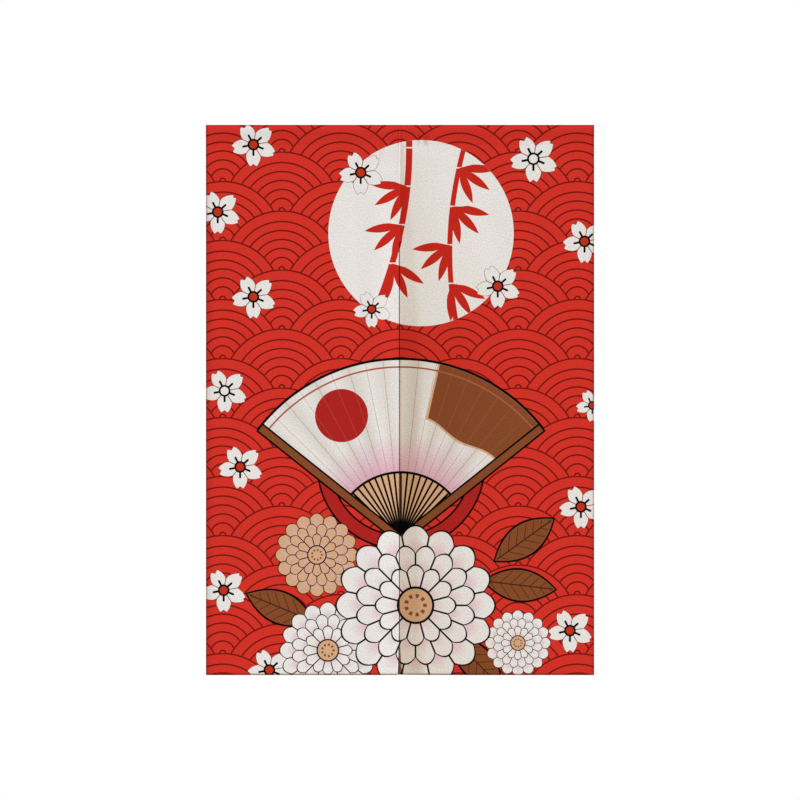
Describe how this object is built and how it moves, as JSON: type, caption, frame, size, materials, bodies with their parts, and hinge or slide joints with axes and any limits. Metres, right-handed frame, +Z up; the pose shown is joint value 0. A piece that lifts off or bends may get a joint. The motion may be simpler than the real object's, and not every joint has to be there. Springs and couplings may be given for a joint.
{
  "type": "noren curtain (cloth doorway curtain, two panels)",
  "caption": "Cloth doorway curtain: panels sewn together at the top and parted below by a slit, with an open rod pocket along the top edge.",
  "frame": {"origin": "middle of the top fold, where the curtain is held up", "axes": "+Z up, along the drop of the cloth; +X to the right seen from the printed front; +Y towards the back"},
  "size_m": [0.8502, 0.0327, 1.2],
  "materials": {
    "printed_cloth": "matte printed cotton and linen weave, red ground with dark red wave scales and off-white blossoms"
  },
  "bodies": {
    "root": {"rod_pocket": "printed_cloth", "left_panel": "printed_cloth", "right_panel": "printed_cloth"}
  },
  "joints": []
}
